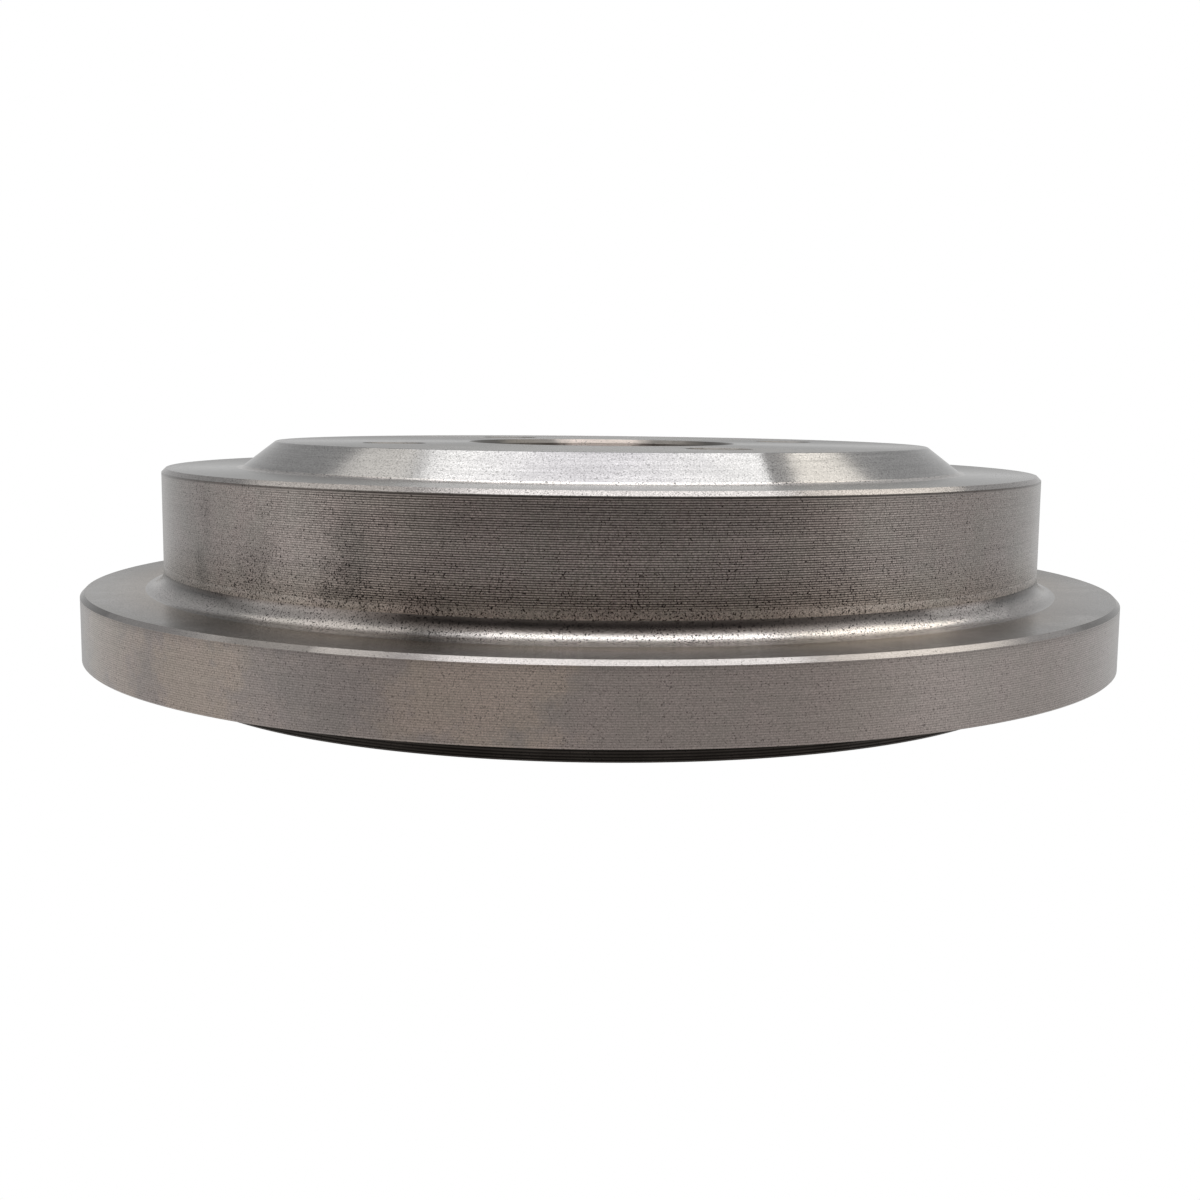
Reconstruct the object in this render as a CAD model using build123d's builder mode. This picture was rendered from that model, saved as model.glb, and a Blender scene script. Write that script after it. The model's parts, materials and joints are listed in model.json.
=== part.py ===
from build123d import *
import os

# Brake drum: one piece of grey cast iron, turned all over and drilled for the wheel studs.
# Millimetres. The axle runs along +Z, the wheel seat is on top and the open end is at the bottom.
# The origin is on the axis, in the plane of the rim of the open lip.

# Ring of the drum, outwards from the friction surface
friction_radius = 101.6     # bore that the shoes press against
lip_wall = 6.3              # lip that enters the backing plate
drum_wall = 9.0             # plain ring between flange and shoulder
flange_reach = 19.4         # flange beyond the plain ring

# Heights, from the open end upwards
lip_height = 7.7            # lip below the flange
flange_thickness = 16.4
ring_height = 29.2          # flange top to shoulder
seat_rise = 6.45            # shoulder to wheel seat

# Web that closes the drum
web_thickness = 8.0
seat_radius = 83.2          # flat of the wheel seat
step_run = 8.4              # how far the conical step spreads from seat to shoulder

# Hub centring and wheel studs
pilot_radius = 33.55
stud_circle_radius = 57.15
stud_count = 4
stud_hole_radius = 7.0
first_stud_angle = 28.0

# Run-out groove at the closed end of the friction surface
groove_depth = 1.0
groove_width = 4.0

# Rounds and chamfers
flange_fillet = 4.4         # foot of the plain ring
step_fillet = 3.0           # foot of the conical step
web_fillet = 3.0            # inside, where the web meets its step
groove_round = 0.9          # nose of the grooving tool
seat_round = 0.8            # edge of the wheel seat
edge_chamfer = 1.0          # shoulder and rim, upper edges
burr_chamfer = 0.4          # lip and lower rim edges
entry_chamfer = 1.5         # mouth of the friction surface
pilot_chamfer = 1.0
stud_chamfer = 0.8

# Radii and heights that follow from the sizes above
lip_radius = friction_radius + lip_wall
ring_radius = friction_radius + drum_wall
flange_radius = ring_radius + flange_reach
foot_radius = seat_radius + step_run
groove_radius = friction_radius + groove_depth
flange_top = lip_height + flange_thickness
shoulder_height = flange_top + ring_height
seat_height = shoulder_height + seat_rise
web_underside = shoulder_height - web_thickness
seat_underside = seat_height - web_thickness
groove_start = web_underside - groove_width

# The inside of the step runs parallel to the outside, one web thickness further in
step_slope_length = (step_run**2 + seat_rise**2) ** 0.5
inner_step_shift = web_thickness * (step_slope_length - step_run) / seat_rise
inner_seat_radius = seat_radius - inner_step_shift
inner_foot_radius = foot_radius - inner_step_shift

# Corners of the turned section as radius and height, once round from the pilot bore
seat_bore_corner = (pilot_radius, seat_height)
seat_edge = (seat_radius, seat_height)
step_foot = (foot_radius, shoulder_height)
shoulder_edge = (ring_radius, shoulder_height)
ring_foot = (ring_radius, flange_top)
rim_top = (flange_radius, flange_top)
rim_bottom = (flange_radius, lip_height)
lip_root = (lip_radius, lip_height)
lip_outer_edge = (lip_radius, 0)
lip_inner_edge = (friction_radius, 0)
groove_lower_edge = (friction_radius, groove_start)
groove_lower_corner = (groove_radius, groove_start)
groove_upper_corner = (groove_radius, web_underside)
inner_step_foot = (inner_foot_radius, web_underside)
inner_step_top = (inner_seat_radius, seat_underside)
underside_bore_corner = (pilot_radius, seat_underside)


def corners(sketch, points):
    """Vertices of the section that lie nearest to the given corners."""
    return [sketch.vertices().sort_by_distance((radius, height, 0))[0] for radius, height in points]


with BuildPart() as brake_drum:
    # Turned section, revolved round the axle
    with BuildSketch(Plane.XZ) as section:
        with BuildLine():
            Polyline(
                seat_bore_corner,
                seat_edge,
                step_foot,
                shoulder_edge,
                ring_foot,
                rim_top,
                rim_bottom,
                lip_root,
                lip_outer_edge,
                lip_inner_edge,
                groove_lower_edge,
                groove_lower_corner,
                groove_upper_corner,
                inner_step_foot,
                inner_step_top,
                underside_bore_corner,
                close=True,
            )
        make_face()
        fillet(corners(section, [ring_foot]), flange_fillet)
        fillet(corners(section, [step_foot]), step_fillet)
        fillet(corners(section, [inner_step_foot, inner_step_top]), web_fillet)
        fillet(corners(section, [groove_lower_corner, groove_upper_corner]), groove_round)
        fillet(corners(section, [seat_edge]), seat_round)
        chamfer(corners(section, [shoulder_edge, rim_top]), edge_chamfer)
        chamfer(corners(section, [rim_bottom, lip_outer_edge]), burr_chamfer)
        chamfer(corners(section, [lip_inner_edge]), entry_chamfer)
        chamfer(corners(section, [seat_bore_corner, underside_bore_corner]), pilot_chamfer)
    revolve(axis=Axis.Z)

    # Stud holes through the wheel seat, broken at both mouths
    with BuildSketch(Plane.XY.offset(seat_height)):
        with PolarLocations(stud_circle_radius, stud_count, start_angle=first_stud_angle):
            Circle(stud_hole_radius)
    extrude(amount=-web_thickness, mode=Mode.SUBTRACT)
    mouths = brake_drum.edges(Select.LAST).filter_by(GeomType.CIRCLE)
    chamfer(mouths, stud_chamfer)

brake_drum.part.label = "brake_drum"
os.makedirs("parts", exist_ok=True)
export_step(brake_drum.part, "parts/brake_drum.step")
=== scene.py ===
import json
import math
import bpy
import numpy as np
from mathutils import Matrix, Vector


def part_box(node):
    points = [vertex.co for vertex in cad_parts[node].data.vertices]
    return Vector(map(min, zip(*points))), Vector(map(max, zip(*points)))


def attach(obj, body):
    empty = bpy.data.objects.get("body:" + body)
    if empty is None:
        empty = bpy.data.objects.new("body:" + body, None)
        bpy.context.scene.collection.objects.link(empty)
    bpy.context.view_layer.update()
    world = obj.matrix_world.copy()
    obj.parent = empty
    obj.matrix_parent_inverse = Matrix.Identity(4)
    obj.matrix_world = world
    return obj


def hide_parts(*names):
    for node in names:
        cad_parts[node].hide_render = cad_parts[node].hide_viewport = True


# Brake drum of turned grey cast iron, standing on its open lip.
# Metres. The axle is the Z axis, and the wheel seat is on top.
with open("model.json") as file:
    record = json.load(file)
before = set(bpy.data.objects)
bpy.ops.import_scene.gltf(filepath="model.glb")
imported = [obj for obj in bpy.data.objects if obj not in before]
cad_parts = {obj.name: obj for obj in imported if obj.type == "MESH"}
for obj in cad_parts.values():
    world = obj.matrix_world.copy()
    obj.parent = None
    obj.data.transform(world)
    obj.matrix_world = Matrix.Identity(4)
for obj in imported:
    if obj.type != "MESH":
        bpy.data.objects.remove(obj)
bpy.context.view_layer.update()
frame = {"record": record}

MM = 0.001

# ---------------------------------------------------------------- sizes of the drum
high_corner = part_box("brake_drum")[1]
mounts = {mount["name"]: mount for mount in frame["record"]["mounts"]}

FLANGE_RADIUS = round(high_corner[0], 4)
SEAT_HEIGHT = round(high_corner[2], 5)
FRICTION_RADIUS = mounts["friction_bore"]["dims"]["r_mm"] * MM
PILOT_RADIUS = mounts["pilot_bore"]["dims"]["r_mm"] * MM
STUD_CIRCLE_RADIUS = mounts["stud_holes"]["dims"]["pcd_mm"] / 2 * MM
STUD_HOLE_RADIUS = mounts["stud_holes"]["dims"]["hole_r_mm"] * MM
STUD_COUNT = mounts["stud_holes"]["dims"]["count"]
SEAT_UNDERSIDE = mounts["hub_seat"]["pos_m"][2]
FIRST_STUD_ANGLE = math.radians(28)

LIP_RADIUS = FRICTION_RADIUS + 6.3 * MM
RING_RADIUS = FRICTION_RADIUS + 9.0 * MM
LIP_HEIGHT = 7.7 * MM
FLANGE_TOP = LIP_HEIGHT + 16.4 * MM
SHOULDER_HEIGHT = FLANGE_TOP + 29.2 * MM
SEAT_RADIUS = 83.2 * MM
FOOT_RADIUS = SEAT_RADIUS + 8.4 * MM
WEB_THICKNESS = SEAT_HEIGHT - SEAT_UNDERSIDE
WEB_UNDERSIDE = SHOULDER_HEIGHT - WEB_THICKNESS
STEP_LENGTH = math.hypot(FOOT_RADIUS - SEAT_RADIUS, SEAT_HEIGHT - SHOULDER_HEIGHT)
# The inner step stands this far inside the outer one, so that the web is as thick on the slope.
INNER_SHIFT = WEB_THICKNESS * (STEP_LENGTH - FOOT_RADIUS + SEAT_RADIUS) / (SEAT_HEIGHT - SHOULDER_HEIGHT)
GROOVE_RADIUS = FRICTION_RADIUS + 1.0 * MM
GROOVE_START = WEB_UNDERSIDE - 4.0 * MM

FLANGE_FILLET = 4.4 * MM
STEP_FILLET = 3.0 * MM
GROOVE_ROUND = 0.9 * MM
SEAT_ROUND = 0.8 * MM
EDGE_CHAMFER = 1.0 * MM
BURR_CHAMFER = 0.4 * MM
ENTRY_CHAMFER = 1.5 * MM
PILOT_CHAMFER = 1.0 * MM
STUD_CHAMFER = 0.8 * MM
BREAK = 0.08 * MM           # what handling leaves of a sharp turned edge
RING_TOP = SHOULDER_HEIGHT - EDGE_CHAMFER - BREAK
RING_FOOT = FLANGE_TOP + FLANGE_FILLET

# ---------------------------------------------------------------- tool marks
RING_FEED = 0.472 * MM      # feed of the roughing tool on the plain ring, per turn
RING_MARK_DEPTH = 0.026 * MM
MARK_FREE_FOOT = 1.4 * MM   # the marks run out above the fillet
LIP_FEED = 0.62 * MM
LIP_MARK_DEPTH = 0.05 * MM
LEAST_DEPTH_SHARE = 0.75    # shallowest and deepest mark, as shares of the depth
MOST_DEPTH_SHARE = 1.2
RING_MARK_SEED = 3
LIP_MARK_SEED = 5
ROWS_PER_MARK = 3
FINISHING_FEED = 0.47 * MM  # feeds of the marks that lie in the materials alone
CHAMFER_FEED = 0.33 * MM
FINE_FEED = 0.25 * MM
INSIDE_FEED = 0.4 * MM

# ---------------------------------------------------------------- mesh fineness
SEGMENTS = 240
PATCH_INNER_RADIUS = 40 * MM
PATCH_OUTER_RADIUS = 74 * MM
PATCH_SIDE_STEPS = 16
PATCH_RINGS = 4
PATCH_CROWDING = 1.5        # power that crowds the patches' lines at the stud holes
ARC_STEP = math.radians(10)
LEAST_ARC_STEPS = 2
SAME_PLACE = 1e-7           # points nearer than this are one

# The drum's surfaces, each with a finish of its own.
FINISHES = [
    "faced",
    "fillet",
    "cone",
    "chamfer",
    "ring",
    "flange face",
    "rim edge",
    "rim",
    "lip",
    "friction",
    "inside",
    "bore",
]


def turned_section(corners, last):
    """Rows (radius, height, normal r, normal z, finish) of a section through its corners.

    A corner is (radius, height, round, finish of the surface that starts there), and last is where
    the section ends. Each inner corner becomes an arc of its round, tangent to its two sides: it
    starts round * tan(turn / 2) before the corner. A normal is the way of travel turned left.
    A large arc is a fillet, with a finish of its own."""
    points = np.array([corner[:2] for corner in corners] + [last], float)
    ways = np.diff(points, axis=0)
    ways /= np.linalg.norm(ways, axis=1)[:, None]
    rows = [[*points[0], -ways[0, 1], ways[0, 0], FINISHES.index(corners[0][3])]]
    for (radius, height, size, finish), before, after in zip(corners[1:], ways[:-1], ways[1:]):
        turn = math.atan2(before[0] * after[1] - before[1] * after[0], before @ after)
        side = np.sign(turn)
        left = np.array([-before[1], before[0]])
        centre = np.array([radius, height]) - before * size * math.tan(abs(turn) / 2) + left * size * side
        steps = max(LEAST_ARC_STEPS, math.ceil(abs(turn) / ARC_STEP))
        share = np.linspace(0, turn, steps + 1)[:, None]
        normals = left * np.cos(share) - before * np.sin(share)
        kind = np.full_like(share, FINISHES.index("fillet" if size >= STEP_FILLET else finish))
        kind[-1] = FINISHES.index(finish)
        rows.extend(np.hstack([centre - normals * size * side, normals, kind]))
    rows.append([*points[-1], -ways[-1, 1], ways[-1, 0], rows[-1][4]])
    return np.array(rows, float)


def with_feed_marks(rows, radius, top, bottom, feed, depth, seed):
    """Puts the spiral left by a turning tool on the upright wall of that radius.

    The wall's radius falls by depth * (1 - cos(2 pi drop / feed)) / 2, with drop the way down from
    the top and each turn's depth its own, between two shares of it. The normals lean by the curve's
    slope."""
    turns = int((top - bottom) / feed)
    phase = np.arange(1, turns * ROWS_PER_MARK) / ROWS_PER_MARK
    shares = np.random.default_rng(seed).uniform(LEAST_DEPTH_SHARE, MOST_DEPTH_SHARE, turns)
    depths = depth / 2 * shares[phase.astype(int)]
    lean = np.arctan(depths * np.sin(2 * np.pi * phase) * 2 * np.pi / feed)
    upright = abs(rows[:, 0] - radius) < SAME_PLACE
    start = np.flatnonzero(upright[:-1] & upright[1:])[0]
    marks = [
        radius - depths * (1 - np.cos(2 * np.pi * phase)),
        top - phase * feed,
        np.cos(lean),
        -np.sin(lean),
        np.full_like(phase, rows[start, 4]),
    ]
    return np.insert(rows, start + 1, np.stack(marks, axis=1), axis=0)


def carried_round(rows, angles, centre):
    """Grid of a section carried round an upright axis: (x, y) = centre + radius * (cos, sin)(angle)."""
    turn = np.stack([np.cos(angles), np.sin(angles)], axis=-1)[None]
    shape = (len(rows), len(angles), 1)
    radius, height, out, up = (np.broadcast_to(rows[:, i, None, None], shape) for i in range(4))
    points = np.concatenate([centre + radius * turn, height], axis=-1)
    normals = np.concatenate([out * turn, up], axis=-1)
    return points, normals, np.repeat(rows[:-1, 4], len(angles))


def grid_faces(shape):
    """Four-sided faces of a grid whose columns close on themselves."""
    index = np.arange(shape[0] * shape[1]).reshape(shape[:2])
    right = np.roll(index, -1, axis=1)
    return np.stack([index[:-1], index[1:], right[1:], right[:-1]], axis=-1).reshape(-1, 4)


def drilled_patch(height, up, hole_radius, middle, finish):
    """Quarter of a flat ring round one stud hole, and the directions and centre of the hole's points.

    The outer loop runs along the ring's sector. Every line of the patch is
    mouth + (loop - mouth) * share, with mouth the point of the hole seen in the same direction. The
    shares are a power of even steps, so that the lines crowd at the hole."""
    half = math.pi / STUD_COUNT
    arc = middle + np.linspace(-half, half, SEGMENTS // STUD_COUNT + 1)
    side = np.linspace(PATCH_OUTER_RADIUS, PATCH_INNER_RADIUS, PATCH_SIDE_STEPS + 1)
    outer = np.full(arc.size - 1, PATCH_OUTER_RADIUS)
    inner = np.full(arc.size - 1, PATCH_INNER_RADIUS)
    radius = np.concatenate([outer, side[:-1], inner, side[:0:-1]])
    start = np.full(side.size - 1, arc[0])
    end = np.full(side.size - 1, arc[-1])
    angle = np.concatenate([arc[:-1], end, arc[:0:-1], start])
    loop = radius[:, None] * np.stack([np.cos(angle), np.sin(angle)], axis=1)
    centre = STUD_CIRCLE_RADIUS * np.array([math.cos(middle), math.sin(middle)])
    way = np.arctan2(*(loop - centre).T[::-1])
    mouth = centre + hole_radius * np.stack([np.cos(way), np.sin(way)], axis=1)
    share = np.linspace(0, 1, PATCH_RINGS + 1)[:, None, None] ** PATCH_CROWDING
    flat = mouth + (loop - mouth) * share
    points = np.concatenate([flat, np.full(flat.shape[:2] + (1,), height)], axis=-1)
    normals = np.broadcast_to([0.0, 0.0, up], points.shape)
    kinds = np.full(PATCH_RINGS * len(loop), FINISHES.index(finish))
    return (points, normals, kinds), way, centre


def welded(parts):
    """One mesh out of grids (points, normals, finish of each face) and whether each is turned over.

    Points that round to the same place are one."""
    faces = []
    first = 0
    for (points, normals, kinds), turned_over in parts:
        quads = grid_faces(points.shape) + first
        faces.append(quads[:, ::-1] if turned_over else quads)
        first += points.shape[0] * points.shape[1]
    grids = [grid for grid, turned_over in parts]
    points, normals = (np.concatenate([grid[i].reshape(-1, 3) for grid in grids]) for i in range(2))
    keys = np.round(points / SAME_PLACE).astype(np.int64)
    kept, merged = np.unique(keys, axis=0, return_index=True, return_inverse=True)[1:]
    faces = merged.reshape(-1)[np.concatenate(faces)]
    return points[kept], normals[kept], faces, np.concatenate([grid[2] for grid in grids])


def drum_skin():
    """The drum's closed skin: two turned sections, and between them the drilled rings of the web."""
    outside = turned_section(
        [
            (PATCH_OUTER_RADIUS, SEAT_HEIGHT, 0, "faced"),
            (SEAT_RADIUS, SEAT_HEIGHT, SEAT_ROUND, "cone"),
            (FOOT_RADIUS, SHOULDER_HEIGHT, STEP_FILLET, "faced"),
            (RING_RADIUS - EDGE_CHAMFER, SHOULDER_HEIGHT, BREAK, "chamfer"),
            (RING_RADIUS, SHOULDER_HEIGHT - EDGE_CHAMFER, BREAK, "ring"),
            (RING_RADIUS, FLANGE_TOP, FLANGE_FILLET, "flange face"),
            (FLANGE_RADIUS - EDGE_CHAMFER, FLANGE_TOP, BREAK, "rim edge"),
            (FLANGE_RADIUS, FLANGE_TOP - EDGE_CHAMFER, BREAK, "rim"),
            (FLANGE_RADIUS, LIP_HEIGHT + BURR_CHAMFER, BREAK, "rim"),
            (FLANGE_RADIUS - BURR_CHAMFER, LIP_HEIGHT, BREAK, "inside"),
            (LIP_RADIUS, LIP_HEIGHT, BREAK, "lip"),
            (LIP_RADIUS, BURR_CHAMFER, BREAK, "lip"),
            (LIP_RADIUS - BURR_CHAMFER, 0, BREAK, "inside"),
            (FRICTION_RADIUS + ENTRY_CHAMFER, 0, BREAK, "friction"),
            (FRICTION_RADIUS, ENTRY_CHAMFER, BREAK, "friction"),
            (FRICTION_RADIUS, GROOVE_START, BREAK, "inside"),
            (GROOVE_RADIUS, GROOVE_START, GROOVE_ROUND, "inside"),
            (GROOVE_RADIUS, WEB_UNDERSIDE, GROOVE_ROUND, "inside"),
            (FOOT_RADIUS - INNER_SHIFT, WEB_UNDERSIDE, STEP_FILLET, "inside"),
            (SEAT_RADIUS - INNER_SHIFT, SEAT_UNDERSIDE, STEP_FILLET, "inside"),
        ],
        (PATCH_OUTER_RADIUS, SEAT_UNDERSIDE),
    )
    ring_wall = (RING_RADIUS, RING_TOP, RING_FOOT + MARK_FREE_FOOT)
    lip_wall = (LIP_RADIUS, LIP_HEIGHT - BREAK, BURR_CHAMFER + BREAK)
    outside = with_feed_marks(outside, *ring_wall, RING_FEED, RING_MARK_DEPTH, RING_MARK_SEED)
    outside = with_feed_marks(outside, *lip_wall, LIP_FEED, LIP_MARK_DEPTH, LIP_MARK_SEED)
    bore = turned_section(
        [
            (PATCH_INNER_RADIUS, SEAT_UNDERSIDE, 0, "inside"),
            (PILOT_RADIUS + PILOT_CHAMFER, SEAT_UNDERSIDE, BREAK, "bore"),
            (PILOT_RADIUS, SEAT_UNDERSIDE + PILOT_CHAMFER, BREAK, "bore"),
            (PILOT_RADIUS, SEAT_HEIGHT - PILOT_CHAMFER, BREAK, "bore"),
            (PILOT_RADIUS + PILOT_CHAMFER, SEAT_HEIGHT, BREAK, "faced"),
        ],
        (PATCH_INNER_RADIUS, SEAT_HEIGHT),
    )
    mouth_radius = STUD_HOLE_RADIUS + STUD_CHAMFER
    hole = turned_section(
        [
            (mouth_radius + BREAK, SEAT_UNDERSIDE, 0, "inside"),
            (mouth_radius, SEAT_UNDERSIDE, BREAK, "bore"),
            (STUD_HOLE_RADIUS, SEAT_UNDERSIDE + STUD_CHAMFER, BREAK, "bore"),
            (STUD_HOLE_RADIUS, SEAT_HEIGHT - STUD_CHAMFER, BREAK, "bore"),
            (mouth_radius, SEAT_HEIGHT, BREAK, "faced"),
        ],
        (mouth_radius + BREAK, SEAT_HEIGHT),
    )
    half = math.pi / STUD_COUNT
    angles = FIRST_STUD_ANGLE - half + np.arange(SEGMENTS) * 2 * math.pi / SEGMENTS
    axle = np.zeros(2)
    parts = [(carried_round(outside, angles, axle), False), (carried_round(bore, angles, axle), False)]
    for stud in range(STUD_COUNT):
        middle = FIRST_STUD_ANGLE + stud * 2 * half
        for height, up, finish in ((SEAT_HEIGHT, 1, "faced"), (SEAT_UNDERSIDE, -1, "inside")):
            patch, way, centre = drilled_patch(height, up, mouth_radius + BREAK, middle, finish)
            parts.append((patch, up < 0))
        parts.append((carried_round(hole, way, centre), False))
    return welded(parts)


# ---------------------------------------------------------------- materials
def linear(code):
    """Linear colour of an sRGB hex code."""
    values = [int(code[i : i + 2], 16) / 255 for i in (0, 2, 4)]
    return (*[v / 12.92 if v <= 0.04045 else ((v + 0.055) / 1.055) ** 2.4 for v in values], 1.0)


def add(tree, kind, inputs=(), **settings):
    """Adds a node with its settings. An input is a value, or the output of another node.

    An input goes by its name or its place. A MapRange takes its value at 0, the range that this
    comes from at 1 and 2, and the range that it goes to at 3 and 4."""
    node = tree.nodes.new("ShaderNode" + kind)
    for name, value in settings.items():
        setattr(node, name, value)
    for name, value in dict(inputs).items():
        if isinstance(value, bpy.types.NodeSocket):
            tree.links.new(value, node.inputs[name])
        else:
            node.inputs[name].default_value = value
    return node


def per(size):
    """Scale of a noise whose grains are that large."""
    return 1 / size


STREAK_RADIUS = 110 * MM    # where the streaks have their length
STREAK_LENGTH = 40 * MM
STREAK_HEIGHT = 0.5 * MM
GRAIN_SIZE = 0.3 * MM       # grains and pores are drawn coarser than real ones, so that they show
GRAIN_RELIEF = 0.012 * MM
BLOTCH_SIZE = 9 * MM
PORE_SIZE = 0.36 * MM
PIT_SPACING = 1.3           # of the points that the pores lie round, in pore sizes
PIT_REACH = 0.9             # of a pit round its point, in spacings
PIT_GAIN = 0.08             # what the noise of the pores gains at the point
PIT_LOSS = 0.10             # what it loses at that reach
PORE_START = -0.02          # a pore darkens between these, counted from its level
PORE_FULL = 0.03
NOISE_LOW = 0.3             # a noise mostly stays between these
NOISE_HIGH = 0.7
TINT_LOW = 0.38             # blotches turn from the stain to the colour between these
TINT_HIGH = 0.62
DRIFT_LOW = 0.35            # and from few pores to many
DRIFT_HIGH = 0.65
BORDER_LOW = 0.25           # the noise that pushes the border of a patch
BORDER_HIGH = 0.75
VALLEY_EDGE = 0.9           # the wave of a mark is free of painted shade over this, and darkest under minus this


def turned_iron(name, colour, stain, roughness, across, feed, marks, streaks, grain, start=0.0, relief=1.0):
    """Grey cast iron turned on a lathe: a metal with a highlight drawn out across the tool marks.

    across is the way over the marks, "z" on upright walls and "r" on faces, and start is where the
    first one begins. marks is how dark the painted shade in the marks' valleys is, and streaks and
    grain how strong each pattern is, all as shares of the brightness; relief is the share of the
    grains' height. Returns the material's tree and shader, its colour so far, and the sockets that a
    finish of its own builds on."""
    material = bpy.data.materials.new(name)
    material.use_nodes = True
    tree = material.node_tree
    tree.nodes.clear()
    place = add(tree, "TexCoord").outputs["Object"]
    axes = add(tree, "SeparateXYZ", {0: place}).outputs
    flat = add(tree, "VectorMath", {0: place, 1: (1, 1, 0)}, operation="MULTIPLY").outputs[0]
    radius = add(tree, "VectorMath", {0: flat}, operation="LENGTH").outputs["Value"]
    around = add(tree, "VectorMath", {0: flat}, operation="NORMALIZE").outputs[0]
    over = radius if across == "r" else axes["Z"]
    height = add(tree, "CombineXYZ", {"Z": over}).outputs[0]

    # Streaks run round the work: chatter and torn metal, long and low.
    round_scale = (STREAK_RADIUS * per(STREAK_LENGTH),) * 3
    long = add(tree, "VectorMath", {0: around, 1: round_scale}, operation="MULTIPLY").outputs[0]
    high_scale = (per(STREAK_HEIGHT),) * 3
    high = add(tree, "VectorMath", {0: height, 1: high_scale}, operation="MULTIPLY").outputs[0]
    along = add(tree, "VectorMath", {0: long, 1: high}, operation="ADD").outputs[0]
    noise = {"Vector": along, "Scale": 1.0, "Detail": 2.0, "Roughness": 0.7}
    streak = add(tree, "TexNoise", noise).outputs[0]
    lighter = {0: streak, 1: NOISE_LOW, 2: NOISE_HIGH, 3: 1 - streaks, 4: 1 + streaks}
    light = add(tree, "MapRange", lighter).outputs[0]

    # Torn grains of the iron.
    noise = {"Vector": place, "Scale": per(GRAIN_SIZE), "Detail": 1.5}
    grains = add(tree, "TexNoise", noise).outputs[0]
    lighter = {0: grains, 1: NOISE_LOW, 2: NOISE_HIGH, 3: 1 - grain, 4: 1 + grain}
    sparkle = add(tree, "MapRange", lighter).outputs[0]
    light = add(tree, "Math", {0: light, 1: sparkle}, operation="MULTIPLY").outputs[0]

    # The marks: painted shade in one valley per turn of the work, deeper and shallower along the way.
    pitch = 2 * math.pi / feed
    phase = add(tree, "Math", {0: over, 1: pitch, 2: -pitch * start}, operation="MULTIPLY_ADD").outputs[0]
    wave = add(tree, "Math", {0: phase}, operation="COSINE").outputs[0]
    shallower = {0: streak, 1: NOISE_LOW, 2: NOISE_HIGH, 3: marks, 4: marks * 0.8}
    depth = add(tree, "MapRange", shallower).outputs[0]
    trough = {0: wave, 1: VALLEY_EDGE, 2: -VALLEY_EDGE, 3: 0, 4: depth}
    valley = add(tree, "MapRange", trough, interpolation_type="SMOOTHSTEP").outputs[0]

    # Blotches of handling and coolant drift from a greenish to a pinkish grey.
    noise = {"Vector": place, "Scale": per(BLOTCH_SIZE), "Detail": 3.0, "Roughness": 0.6}
    blotch = add(tree, "TexNoise", noise).outputs[0]
    share = add(tree, "MapRange", {0: blotch, 1: TINT_LOW, 2: TINT_HIGH}).outputs[0]
    both = {0: share, 6: linear(stain), 7: linear(colour)}
    tint = add(tree, "Mix", both, data_type="RGBA").outputs[2]

    shader = add(
        tree,
        "BsdfPrincipled",
        {"Metallic": 1.0, "Roughness": roughness, "Anisotropic": 1.0, "Anisotropic Rotation": 0.25},
    )
    tangent = add(tree, "Tangent", direction_type="RADIAL", axis="Z").outputs[0]
    tree.links.new(tangent, shader.inputs["Tangent"])
    bump = add(tree, "Bump", {"Height": grains, "Distance": GRAIN_RELIEF, "Strength": relief}).outputs[0]
    tree.links.new(bump, shader.inputs["Normal"])
    add(tree, "OutputMaterial", {0: shader.outputs[0]})
    return dict(
        material=material,
        tree=tree,
        shader=shader,
        tint=tint,
        light=light,
        valley=valley,
        place=place,
        height=axes["Z"],
        radius=radius,
        grains=grains,
        blotch=blotch,
    )


def pored(iron, drifts=(0.72, 0.64), more=0.0, darkness=0.8, size=PORE_SIZE):
    """Darkens the pores: specks where a noise is over a level, which wanders in drifts.

    The noise is mixed with the nearness to scattered points, so that the specks are round and of
    many sizes. more is a socket or number that lowers the level, so that the specks grow and join.
    darkness is the share of the light that they take."""
    tree = iron["tree"]
    torn = add(tree, "TexNoise", {"Vector": iron["place"], "Scale": per(size), "Detail": 1.0}).outputs[0]
    points = {"Vector": iron["place"], "Scale": per(size * PIT_SPACING)}
    near = add(tree, "TexVoronoi", points).outputs["Distance"]
    pit = {0: near, 1: 0.0, 2: PIT_REACH, 3: PIT_GAIN, 4: -PIT_LOSS}
    round_pit = add(tree, "MapRange", pit).outputs[0]
    pore = add(tree, "Math", {0: torn, 1: round_pit}, operation="ADD").outputs[0]
    drift = {0: iron["blotch"], 1: DRIFT_LOW, 2: DRIFT_HIGH, 3: drifts[0], 4: drifts[1]}
    level = add(tree, "MapRange", drift).outputs[0]
    level = add(tree, "Math", {0: level, 1: more}, operation="SUBTRACT").outputs[0]
    over = add(tree, "Math", {0: pore, 1: level}, operation="SUBTRACT").outputs[0]
    darkening = {0: over, 1: PORE_START, 2: PORE_FULL, 3: 1.0, 4: 1 - darkness}
    dimmed(iron, add(tree, "MapRange", darkening).outputs[0])


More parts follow.
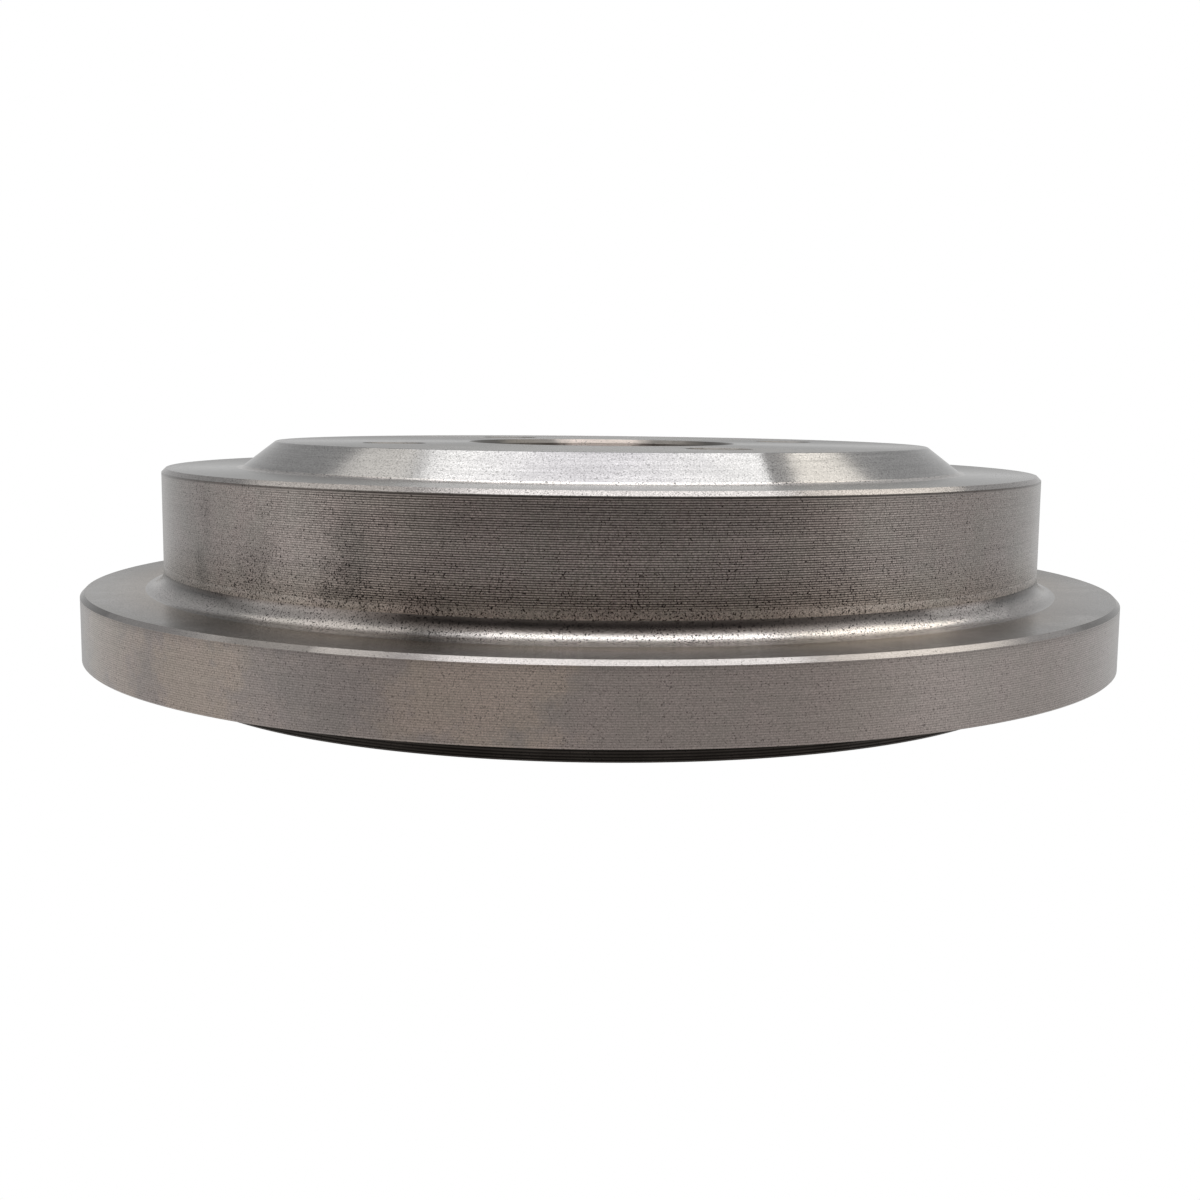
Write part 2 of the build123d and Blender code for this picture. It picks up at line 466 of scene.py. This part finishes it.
def patches(iron, radius, spots, border, size, push):
    """Mask of patches on a wall: (azimuth in degrees, height, half width, half height, strength) each.

    The azimuth is 0 in front and grows to the right. A patch is where the distance from its middle,
    counted in its own half sizes and pushed in and out by a noise of that size, is under one. Its
    border is soft by that share. Where patches meet, the stronger one counts."""
    tree = iron["tree"]
    noise = {"Vector": iron["place"], "Scale": per(size), "Detail": 5.0, "Roughness": 0.65}
    ragged = add(tree, "TexNoise", noise).outputs[0]
    pushing = {0: ragged, 1: BORDER_LOW, 2: BORDER_HIGH, 3: -push, 4: push}
    pushed = add(tree, "MapRange", pushing).outputs[0]
    whole = 0.0
    for azimuth, height, half_width, half_height, strength in spots:
        turn = math.radians(azimuth)
        middle = (radius * math.sin(turn), -radius * math.cos(turn), height)
        away = add(tree, "VectorMath", {0: iron["place"], 1: middle}, operation="SUBTRACT").outputs[0]
        halves = (half_width, half_width, half_height)
        away = add(tree, "VectorMath", {0: away, 1: halves}, operation="DIVIDE").outputs[0]
        away = add(tree, "VectorMath", {0: away}, operation="LENGTH").outputs["Value"]
        away = add(tree, "Math", {0: away, 1: pushed}, operation="ADD").outputs[0]
        mask = add(tree, "MapRange", {0: away, 1: 1 + border, 2: 1 - border, 3: 0, 4: strength}).outputs[0]
        whole = add(tree, "Math", {0: whole, 1: mask}, operation="MAXIMUM").outputs[0]
    return whole


def tinted(iron, mask, code):
    """Multiplies the tint by a colour where the mask is."""
    layer = {0: mask, 6: iron["tint"], 7: linear(code)}
    iron["tint"] = add(iron["tree"], "Mix", layer, data_type="RGBA", blend_type="MULTIPLY").outputs[2]


def dimmed(iron, amount):
    """Multiplies the light by a socket or number."""
    iron["light"] = add(iron["tree"], "Math", {0: iron["light"], 1: amount}, operation="MULTIPLY").outputs[0]


def toned(iron, mask, left):
    """Multiplies the light by a share where the mask is, and leaves it alone elsewhere."""
    dimmed(iron, add(iron["tree"], "MapRange", {0: mask, 1: 0.0, 2: 1.0, 3: 1.0, 4: left}).outputs[0])


def finished(iron):
    """Multiplies the tint by the light left by the marks' painted shade, grain and pores, and gives back the
    material.
    """
    tree = iron["tree"]
    top = add(tree, "Math", {0: 1.0, 1: iron["valley"]}, operation="SUBTRACT").outputs[0]
    light = add(tree, "Math", {0: top, 1: iron["light"]}, operation="MULTIPLY").outputs[0]
    colour = add(tree, "VectorMath", {0: iron["tint"], "Scale": light}, operation="SCALE").outputs[0]
    tree.links.new(colour, iron["shader"].inputs["Base Color"])
    return iron["material"]


# Where each surface is stained or smudged, where its marks fade, and where it has painted highlight or
# painted shade: rows of patches().
FULL_HEIGHT = 400 * MM      # makes a patch as wide at the top and the foot of a wall
RING_SMUDGES = (
    (-50.5, 42 * MM, 1.6 * MM, 9 * MM, 0.5),
    (-52, 33 * MM, 2.5 * MM, 4 * MM, 0.8),
    (-40, 36 * MM, 4.5 * MM, 7 * MM, 0.7),
    (-27, 36 * MM, 4.5 * MM, 9 * MM, 0.9),
    (-28.5, 31 * MM, 5 * MM, 4 * MM, 1.0),
    (-18, 31 * MM, 5 * MM, 3 * MM, 0.6),
)
RING_MARKS_FADE = (
    (-60, 38 * MM, 52 * MM, FULL_HEIGHT, 1.0),
    (62, 38 * MM, 52 * MM, FULL_HEIGHT, 1.0),
    (180, 38 * MM, 150 * MM, FULL_HEIGHT, 0.5),
)
RING_PAINTED_HIGHLIGHT = ((-27, 40 * MM, 28 * MM, FULL_HEIGHT, 1.0),)
RING_PAINTED_SHADE = (
    (-61, 40 * MM, 32 * MM, FULL_HEIGHT, 1.0),
    (54, 48 * MM, 40 * MM, 22 * MM, 1.0),
    (66, 40 * MM, 26 * MM, FULL_HEIGHT, 0.8),
    (2, SHOULDER_HEIGHT, 34 * MM, 9 * MM, 0.7),
)
SHOULDER_PAINTED_SHADE = ((-23, SHOULDER_HEIGHT, 20 * MM, 8 * MM, 1.0),)
RIM_EDGE_PAINTED_SHADE = (
    (-29, FLANGE_TOP, 12 * MM, 8 * MM, 0.8),
    (-66, FLANGE_TOP, 28 * MM, 8 * MM, 1.0),
    (65, FLANGE_TOP, 30 * MM, 8 * MM, 1.0),
)
FILLET_PAINTED_SHADE = (
    (-50, RING_FOOT, 66 * MM, 40 * MM, 0.8),
    (68, RING_FOOT, 34 * MM, 40 * MM, 1.0),
)
FILLET_SHADE_GAPS = (
    (-33, RING_FOOT, 22 * MM, 40 * MM, 0.95),
    (44, RING_FOOT, 15 * MM, 40 * MM, 0.6),
)
FILLET_TOE_SHADE = ((-17, FLANGE_TOP + 1.1 * MM, 9 * MM, 0.9 * MM, 1.0),)
FLANGE_BROWN_START = 126 * MM
FLANGE_BROWN_FULL = 117 * MM
FLANGE_SHADE_RADIUS = 122 * MM
FLANGE_PAINTED_SHADE = (
    (-27, FLANGE_TOP, 36 * MM, 20 * MM, 0.75),
    (20, FLANGE_TOP, 18 * MM, 20 * MM, 0.6),
    (42, FLANGE_TOP, 16 * MM, 20 * MM, 0.3),
    (70, FLANGE_TOP, 26 * MM, 20 * MM, 0.8),
)
RIM_WARM_STAINS = (
    (-10, 16 * MM, 15 * MM, 10 * MM, 1.0),
    (-38, 15 * MM, 13 * MM, 12 * MM, 1.0),
    (-55, 17 * MM, 18 * MM, 12 * MM, 0.8),
)
RIM_COOL_STAINS = (
    (-24, 16 * MM, 13 * MM, 9 * MM, 1.0),
    (-66, 14 * MM, 10 * MM, 9 * MM, 0.6),
)
CONE_COOL = ((-1, SEAT_HEIGHT - 3 * MM, 18 * MM, 40 * MM, 1.0),)
BORE_PAINTED_HIGHLIGHT = ((179, SEAT_HEIGHT, 11 * MM, 6 * MM, 1.0),)

PORES_RISE = 14 * MM        # heights over the plain ring's foot
BROWN_RISE = 9 * MM
MARKS_START = 1.2 * MM
MARKS_FULL = 2.6 * MM
FOOT_PORES = 0.09           # how far the level of the pores is lowered at the foot
SMUDGE_PORES = 0.06
FOOT_MARKS = 0.05           # shares of the marks that are left
FADED_MARKS = 0.12
EDGE_SHADE_START = 0.1 * MM  # depth under the wall's top where its line of painted shade starts
EDGE_SHADE_FULL = 0.4 * MM   # height over it where the line would be darkest
EDGE_SHADE_LEFT = 0.4        # share of the light that the line leaves
RAGGEDNESS = 0.9 * MM       # by which the grains push the line down
HOLLOW_SHADE_START = 1.1 * MM       # depths under the plain ring's foot
HOLLOW_SHADE_END = 3.2 * MM
HOLLOW_SHADE_LEFT = 0.22            # share of the light that the painted shade leaves
UNSHADED_RISE = 1.0 * MM       # height over the foot from where the hollow is free of painted shade
TOE_START = 1.8 * MM        # widths out from the plain ring
TOE_END = 3.6 * MM
TOE_LEFT = 0.85
RIM_DIRT = 2.6 * MM         # depth under the flange's face
RIM_DIRT_LEFT = 0.8


def roughed_ring():
    """Rough-turned grey iron: coarse tool lines with painted shade in their valleys, drifts of pores that
    thicken to the foot.
    """
    iron = turned_iron(
        "rough_turned_grey_iron",
        colour="C7C2C0",
        stain="C3C1BE",
        roughness=0.28,
        across="z",
        feed=RING_FEED,
        marks=0.85,
        streaks=0.08,
        grain=0.4,
        start=RING_TOP,
    )
    tree = iron["tree"]
    height = iron["height"]
    smudges = patches(iron, RING_RADIUS, RING_SMUDGES, border=0.8, size=3 * MM, push=1.1)
    thickening = {0: height, 1: RING_FOOT + PORES_RISE, 2: RING_FOOT, 3: 0.0, 4: FOOT_PORES}
    foot = add(tree, "MapRange", thickening).outputs[0]
    more = add(tree, "Math", {0: smudges, 1: SMUDGE_PORES, 2: foot}, operation="MULTIPLY_ADD").outputs[0]
    pored(iron, drifts=(0.69, 0.64), more=more, darkness=0.85)
    # The marks run out above the fillet. Their painted shade fades on two sides and by about half at the
    # back, standing in for how light and blur hide them there.
    run_out = {0: height, 1: RING_FOOT + MARKS_START, 2: RING_FOOT + MARKS_FULL, 3: FOOT_MARKS, 4: 1.0}
    fade = add(tree, "MapRange", run_out).outputs[0]
    shade_lifted = patches(iron, RING_RADIUS, RING_MARKS_FADE, border=0.3, size=40 * MM, push=0.3)
    side_fade = add(tree, "MapRange", {0: shade_lifted, 1: 0.0, 2: 1.0, 3: 1.0, 4: FADED_MARKS}).outputs[0]
    both = add(tree, "Math", {0: fade, 1: side_fade}, operation="MULTIPLY").outputs[0]
    iron["valley"] = add(tree, "Math", {0: iron["valley"], 1: both}, operation="MULTIPLY").outputs[0]
    # A ragged line of painted shade under the chamfer, where the first mark starts, and a brown foot.
    ragged = {0: iron["grains"], 1: RAGGEDNESS, 2: height}
    edge = add(tree, "Math", ragged, operation="MULTIPLY_ADD").outputs[0]
    start = RING_TOP - EDGE_SHADE_START
    line = {0: edge, 1: start, 2: RING_TOP + EDGE_SHADE_FULL, 3: 1.0, 4: EDGE_SHADE_LEFT}
    dimmed(iron, add(tree, "MapRange", line).outputs[0])
    brown = add(tree, "MapRange", {0: height, 1: RING_FOOT + BROWN_RISE, 2: RING_FOOT}).outputs[0]
    tinted(iron, brown, "F6F1EA")
    # Painted highlight where a side lamp's soft reflection lies on the wall, and painted shade where the
    # wall's reflections are darker.
    toned(iron, patches(iron, RING_RADIUS, RING_PAINTED_HIGHLIGHT, border=0.5, size=20 * MM, push=0.3), 1.15)
    toned(iron, patches(iron, RING_RADIUS, RING_PAINTED_SHADE, border=0.5, size=20 * MM, push=0.3), 0.7)
    toned(iron, smudges, 0.7)
    dimmed(iron, 1.08)
    return finished(iron)


def burnished_fillet():
    """Grey iron rubbed bright in the hollows by the round nose of the tool, with open pores.

    The flange's hollow starts with a line of painted shade, for the shade and dark reflection under
    the wall. The line is left out along two stretches, where the highlight shows broader. The hollow
    ends in a little painted shade, and has painted shade to both sides and in a patch at its toe."""
    iron = turned_iron(
        "burnished_grey_iron",
        colour="F2ECE9",
        stain="E6E2DE",
        roughness=0.17,
        across="z",
        feed=FINISHING_FEED,
        marks=0.0,
        streaks=0.05,
        grain=0.2,
    )
    pored(iron, drifts=(0.68, 0.61), more=0.04, darkness=0.85)
    # Painted shade: a dark line at the start of the hollow, left out over the gap patches.
    start = {0: iron["height"], 1: RING_FOOT - HOLLOW_SHADE_END, 2: RING_FOOT - HOLLOW_SHADE_START, 3: 1.0, 4: HOLLOW_SHADE_LEFT}
    above = {0: iron["height"], 1: RING_FOOT, 2: RING_FOOT + UNSHADED_RISE, 3: 0.0, 4: 1.0}
    hollow_shade = add(iron["tree"], "MapRange", start).outputs[0]
    unshaded = add(iron["tree"], "MapRange", above).outputs[0]
    both = add(iron["tree"], "Math", {0: hollow_shade, 1: unshaded}, operation="MAXIMUM").outputs[0]
    shade_lifted = patches(iron, RING_RADIUS, FILLET_SHADE_GAPS, border=0.5, size=9 * MM, push=0.3)
    dimmed(iron, add(iron["tree"], "Math", {0: both, 1: shade_lifted}, operation="MAXIMUM").outputs[0])
    # Painted shade towards the hollow's outer end, to both sides, and in a patch at its toe.
    toe = {0: iron["radius"], 1: RING_RADIUS + TOE_START, 2: RING_RADIUS + TOE_END, 3: 1.0, 4: TOE_LEFT}
    dimmed(iron, add(iron["tree"], "MapRange", toe).outputs[0])
    toned(iron, patches(iron, RING_RADIUS, FILLET_PAINTED_SHADE, border=0.25, size=9 * MM, push=0.2), 0.6)
    toned(iron, patches(iron, RING_RADIUS, FILLET_TOE_SHADE, border=0.9, size=9 * MM, push=0.2), 0.4)
    return finished(iron)


def flange_face():
    """Faced grey iron gone brown in the air next to the fillet, with patches of painted shade."""
    iron = turned_iron(
        "faced_brown_grey_iron",
        colour="BAB6B3",
        stain="ADA9A4",
        roughness=0.2,
        across="r",
        feed=FINISHING_FEED,
        marks=0.1,
        streaks=0.03,
        grain=0.3,
    )
    browning = {0: iron["radius"], 1: FLANGE_BROWN_START, 2: FLANGE_BROWN_FULL}
    inner = add(iron["tree"], "MapRange", browning).outputs[0]
    more = add(iron["tree"], "Math", {0: inner, 1: 0.04}, operation="MULTIPLY").outputs[0]
    pored(iron, drifts=(0.69, 0.63), more=more, darkness=0.6, size=0.5 * MM)
    tinted(iron, inner, "F2E6D8")
    # Painted shade where the face's reflection is darker.
    toned(iron, patches(iron, FLANGE_SHADE_RADIUS, FLANGE_PAINTED_SHADE, border=0.25, size=9 * MM, push=0.25), 0.6)
    return finished(iron)


def finished_rim():
    """Finish-turned grey iron: fine faint lines, a dirty top edge, and stains with ragged borders."""
    iron = turned_iron(
        "finish_turned_grey_iron",
        colour="CBC7C6",
        stain="C5C3C1",
        roughness=0.32,
        across="z",
        feed=FINISHING_FEED,
        marks=0.24,
        streaks=0.04,
        grain=0.22,
    )
    pored(iron, drifts=(0.69, 0.615), darkness=0.5)
    top = FLANGE_TOP - EDGE_CHAMFER
    edge = {0: iron["height"], 1: FLANGE_TOP - RIM_DIRT, 2: top, 3: 1.0, 4: RIM_DIRT_LEFT}
    dimmed(iron, add(iron["tree"], "MapRange", edge).outputs[0])
    warm = patches(iron, FLANGE_RADIUS, RIM_WARM_STAINS, border=0.35, size=8 * MM, push=1.0)
    tinted(iron, warm, "FFFBF4")
    toned(iron, warm, 1.2)
    tinted(iron, patches(iron, FLANGE_RADIUS, RIM_COOL_STAINS, border=0.3, size=8 * MM, push=1.0), "F2F4F6")
    return finished(iron)


def turned_cone():
    """Fine-turned grey iron: a silky sheen broken up by specks, a little cool on one stretch."""
    iron = turned_iron(
        "fine_turned_grey_iron",
        colour="C1C0BF",
        stain="B9B8B7",
        roughness=0.11,
        across="z",
        feed=FINE_FEED,
        marks=0.06,
        streaks=0.11,
        grain=0.22,
        relief=0.3,
    )
    pored(iron, drifts=(0.62, 0.57), darkness=0.4)
    tinted(iron, patches(iron, SEAT_RADIUS, CONE_COOL, border=0.6, size=9 * MM, push=0.3), "EBEAEE")
    return finished(iron)


def painted_bore():
    """Bored grey iron: a painted highlight in a matte pinkish patch at its mouth's far side, painted shade
    elsewhere.
    """
    iron = turned_iron(
        "bored_pilot_grey_iron",
        colour="B4B0AB",
        stain="ABA7A2",
        roughness=0.3,
        across="z",
        feed=FINE_FEED,
        marks=0.12,
        streaks=0.08,
        grain=0.1,
    )
    pored(iron)
    # Painted highlight: the patch turns matte and pinkish. Outside it, the bore is darkened as painted
    # shade.
    highlight_patch = patches(iron, PILOT_RADIUS, BORE_PAINTED_HIGHLIGHT, border=0.35, size=6 * MM, push=0.3)
    warm = {0: highlight_patch, 6: iron["tint"], 7: linear("EBDFD7")}
    iron["tint"] = add(iron["tree"], "Mix", warm, data_type="RGBA").outputs[2]
    dimmed(iron, add(iron["tree"], "MapRange", {0: highlight_patch, 1: 0.0, 2: 1.0, 3: 0.55, 4: 1.0}).outputs[0])
    matte_patch = add(iron["tree"], "MapRange", {0: highlight_patch, 1: 0.0, 2: 1.0, 3: 1.0, 4: 0.35}).outputs[0]
    iron["tree"].links.new(matte_patch, iron["shader"].inputs["Metallic"])
    return finished(iron)


def chamfered_edge(name, radius, spots, grain, drifts, left):
    """Chamfered grey iron: a bright edge, broken up by pores, with painted shade along some stretches."""
    iron = turned_iron(
        name,
        colour="BCB8B6",
        stain="B6B2B0",
        roughness=0.18,
        across="z",
        feed=CHAMFER_FEED,
        marks=0.05,
        streaks=0.04,
        grain=grain,
        start=RING_TOP,
    )
    pored(iron, drifts, darkness=0.6)
    # Painted shade along the stretches where the edge's reflection is darker.
    toned(iron, patches(iron, radius, spots, border=0.2, size=9 * MM, push=0.2), left)
    return finished(iron)


def plain_finish(name, **settings):
    """A turned finish with nothing of its own but pores."""
    iron = turned_iron(name, **settings)
    pored(iron, drifts=(0.72, 0.66), darkness=0.7)
    return finished(iron)


def make_finishes():
    """The material of each finish."""
    return {
        # Fine facing cuts with a sheen that turns with the eye.
        "faced": plain_finish(
            "faced_grey_iron",
            colour="BDBCBA",
            stain="B6B5B3",
            roughness=0.2,
            across="r",
            feed=FINE_FEED,
            marks=0.06,
            streaks=0.06,
            grain=0.12,
        ),
        "fillet": burnished_fillet(),
        "cone": turned_cone(),
        "chamfer": chamfered_edge(
            "chamfered_grey_iron",
            RING_RADIUS,
            SHOULDER_PAINTED_SHADE,
            grain=0.3,
            drifts=(0.68, 0.60),
            left=0.84,
        ),
        "rim edge": chamfered_edge(
            "smooth_chamfered_grey_iron",
            FLANGE_RADIUS,
            RIM_EDGE_PAINTED_SHADE,
            grain=0.12,
            drifts=(0.74, 0.66),
            left=0.45,
        ),
        "ring": roughed_ring(),
        "flange face": flange_face(),
        "rim": finished_rim(),
        # Rough-turned, and painted near black for the shade under the flange, with paler crests.
        "lip": plain_finish(
            "oiled_grey_iron",
            colour="565553",
            stain="4B4A48",
            roughness=0.3,
            across="z",
            feed=LIP_FEED,
            marks=0.8,
            streaks=0.1,
            grain=0.1,
            start=LIP_HEIGHT,
        ),
        # Bored smooth for the shoes: an even, soft grey.
        "friction": plain_finish(
            "bored_grey_iron",
            colour="BEBCB8",
            stain="B6B4B0",
            roughness=0.3,
            across="z",
            feed=FINE_FEED,
            marks=0.12,
            streaks=0.08,
            grain=0.1,
        ),
        # Faced where nobody looks: wider cuts and a duller sheen.
        "inside": plain_finish(
            "faced_grey_iron_inside",
            colour="B8B5B0",
            stain="AFACA6",
            roughness=0.3,
            across="r",
            feed=INSIDE_FEED,
            marks=0.15,
            streaks=0.1,
            grain=0.12,
        ),
        "bore": painted_bore(),
    }


points, normals, faces, kinds = drum_skin()
mesh = bpy.data.meshes.new("drum_skin")
mesh.from_pydata(points.tolist(), [], faces.tolist())
finishes = make_finishes()
for kind in FINISHES:
    mesh.materials.append(finishes[kind])
mesh.polygons.foreach_set("material_index", kinds.astype(np.int32))
mesh.polygons.foreach_set("use_smooth", np.ones(len(faces), bool))
mesh.update()
mesh.normals_split_custom_set_from_vertices(normals.tolist())
drum = bpy.data.objects.new("drum_skin", mesh)
bpy.context.scene.collection.objects.link(drum)

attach(drum, "root")
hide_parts("brake_drum")

# ---------------------------------------------------------------- camera
CAMERA_PLACE = Vector((0, -0.39724, 0.06939))
CAMERA_DIP = 0.1280         # radians below the level
CAMERA_ROLL = 0.01026
LENS_MM = 45.445
SENSOR_MM = 36

camera = bpy.data.cameras.new("camera")
camera.lens = LENS_MM
camera.sensor_width = SENSOR_MM
camera.clip_start = 0.01
camera_object = bpy.data.objects.new("camera", camera)
tilt = Matrix.Rotation(math.pi / 2 - CAMERA_DIP, 4, "X") @ Matrix.Rotation(CAMERA_ROLL, 4, "Z")
camera_object.matrix_world = Matrix.Translation(CAMERA_PLACE) @ tilt
bpy.context.scene.collection.objects.link(camera_object)
bpy.context.scene.camera = camera_object

# ---------------------------------------------------------------- studio
# A tent of soft light: dark in front, brightest to the sides and a little dimmer behind. Each step
# is the share of the way from front to back and the colour there. It darkens upwards and to the left.
# Under the horizon the tent is a table top.
TENT = (
    (0.0, "57514E"),
    (0.12, "625B58"),
    (0.225, "AFA6A1"),
    (0.36, "E2DDDA"),
    (0.55, "DAD8D7"),
    (0.80, "CCCCCC"),
    (0.93, "C2C2C2"),
    (1.00, "C4C4C4"),
)
TENT_LOW = 0.08             # heights of the way to the light, as a sine
TENT_HIGH = 0.40
TENT_TOP_SHARE = 0.75
TENT_LEFT_START = -0.2      # the same to the left
TENT_LEFT_END = -0.7
TENT_LEFT_SHARE = 0.78
TABLE_FRONT = "B4AAA5"
TABLE_BACK = "CCCBCA"
TABLE_BACK_START = 0.3      # the same to the back
TABLE_BACK_END = 0.85
TABLE_EDGE = 0.06
world = bpy.data.worlds.new("light_tent")
world.use_nodes = True
tree = world.node_tree
tree.nodes.clear()
way = add(tree, "TexCoord").outputs["Generated"]
way = add(tree, "SeparateXYZ", {0: way}).outputs
share = add(tree, "MapRange", {0: way["Y"], 1: -1, 2: 1}).outputs[0]
ramp = add(tree, "ValToRGB", {0: share})
stops = ramp.color_ramp.elements
while len(stops) < len(TENT):
    stops.new(1.0)
for stop, (position, code) in zip(stops, TENT):
    stop.position = position
    stop.color = linear(code)
high = add(tree, "MapRange", {0: way["Z"], 1: TENT_LOW, 2: TENT_HIGH, 3: 1, 4: TENT_TOP_SHARE}).outputs[0]
leftwards = {0: way["X"], 1: TENT_LEFT_START, 2: TENT_LEFT_END, 3: 1, 4: TENT_LEFT_SHARE}
left = add(tree, "MapRange", leftwards).outputs[0]
dim = add(tree, "Math", {0: high, 1: left}, operation="MULTIPLY").outputs[0]
upper = add(tree, "VectorMath", {0: ramp.outputs[0], "Scale": dim}, operation="SCALE").outputs[0]
far = add(tree, "MapRange", {0: way["Y"], 1: TABLE_BACK_START, 2: TABLE_BACK_END}).outputs[0]
table_colours = {0: far, 6: linear(TABLE_FRONT), 7: linear(TABLE_BACK)}
table = add(tree, "Mix", table_colours, data_type="RGBA").outputs[2]
under = add(tree, "MapRange", {0: way["Z"], 1: TABLE_EDGE, 2: -TABLE_EDGE}).outputs[0]
colour = add(tree, "Mix", {0: under, 6: upper, 7: table}, data_type="RGBA").outputs[2]
glow = add(tree, "Background", {"Color": colour, "Strength": 1.0})
add(tree, "OutputWorld", {0: glow.outputs[0]})
bpy.context.scene.world = world


def softbox(name, place, size, brightness, tone, lean=0.0, turn=0.0):
    """Flat lamp over the drum, leaned over the Y axis and turned about Z.

    brightness is what a mirror would show of it."""
    lamp = bpy.data.lights.new(name, "AREA")
    lamp.shape = "RECTANGLE"
    lamp.size, lamp.size_y = size
    lamp.energy = brightness * math.pi * size[0] * size[1]
    lamp.color = linear(tone)[:3]
    holder = bpy.data.objects.new(name, lamp)
    turned = Matrix.Rotation(turn, 4, "Z") @ Matrix.Rotation(lean, 4, "Y")
    holder.matrix_world = Matrix.Translation(place) @ turned
    holder.visible_camera = False
    bpy.context.scene.collection.objects.link(holder)


softbox("top_box", (0.015, 0.15, 1.2), (1.116, 1.5), brightness=1.3, tone="FFFFFF", turn=0.15)
softbox("right_box", (0.92, 0.3, 1.077), (0.61, 1.05), brightness=1.08, tone="FFF8EC", lean=0.4)
softbox("left_box", (-0.90, 0.3, 1.12), (0.56, 1.15), brightness=0.61, tone="FFFAF2", lean=-0.4)

# ---------------------------------------------------------------- floor
FLOOR_REACH = 3.0
FLOOR_CURVE = 1.0           # radius of the edge that curves up
FLOOR_CURVE_STEPS = 12
FLOOR_MIDDLE = 0.3          # radius of the flat piece in the middle
FLOOR_TURNS = 64
FLOOR_DROP = 0.05 * MM      # keeps the floor clear of the lip's face


def sweep_floor():
    """Round floor whose edge curves up: radius and height of each line are those of a quarter circle."""
    bend = np.linspace(0, math.pi / 2, FLOOR_CURVE_STEPS)
    radius = np.append(FLOOR_MIDDLE, FLOOR_REACH - FLOOR_CURVE + FLOOR_CURVE * np.sin(bend))
    height = np.append(0, FLOOR_CURVE * (1 - np.cos(bend)))
    turn = np.arange(FLOOR_TURNS) * 2 * math.pi / FLOOR_TURNS
    flat = radius[:, None, None] * np.stack([np.cos(turn), np.sin(turn)], axis=-1)[None]
    rise = np.broadcast_to(height[:, None, None] - FLOOR_DROP, flat.shape[:2] + (1,))
    return np.concatenate([flat, rise], axis=-1)


floor_points = sweep_floor()
floor_faces = grid_faces(floor_points.shape).tolist() + [list(range(FLOOR_TURNS))]
floor_mesh = bpy.data.meshes.new("floor")
floor_mesh.from_pydata(floor_points.reshape(-1, 3).tolist(), [], floor_faces)
floor_mesh.update()
floor = bpy.data.objects.new("floor", floor_mesh)
bpy.context.scene.collection.objects.link(floor)

paper = bpy.data.materials.new("white_paper")
paper.use_nodes = True
tree = paper.node_tree
tree.nodes.clear()
glow = add(tree, "Emission", {"Color": linear("FFFFFF"), "Strength": 1.0}).outputs[0]
behind = add(tree, "NewGeometry").outputs["Backfacing"]
clear = add(tree, "BsdfTransparent").outputs[0]
add(tree, "OutputMaterial", {0: add(tree, "MixShader", {0: behind, 1: glow, 2: clear}).outputs[0]})
floor_mesh.materials.append(paper)
floor.visible_glossy = False
floor.visible_shadow = False

bpy.context.scene.view_settings.view_transform = "Standard"
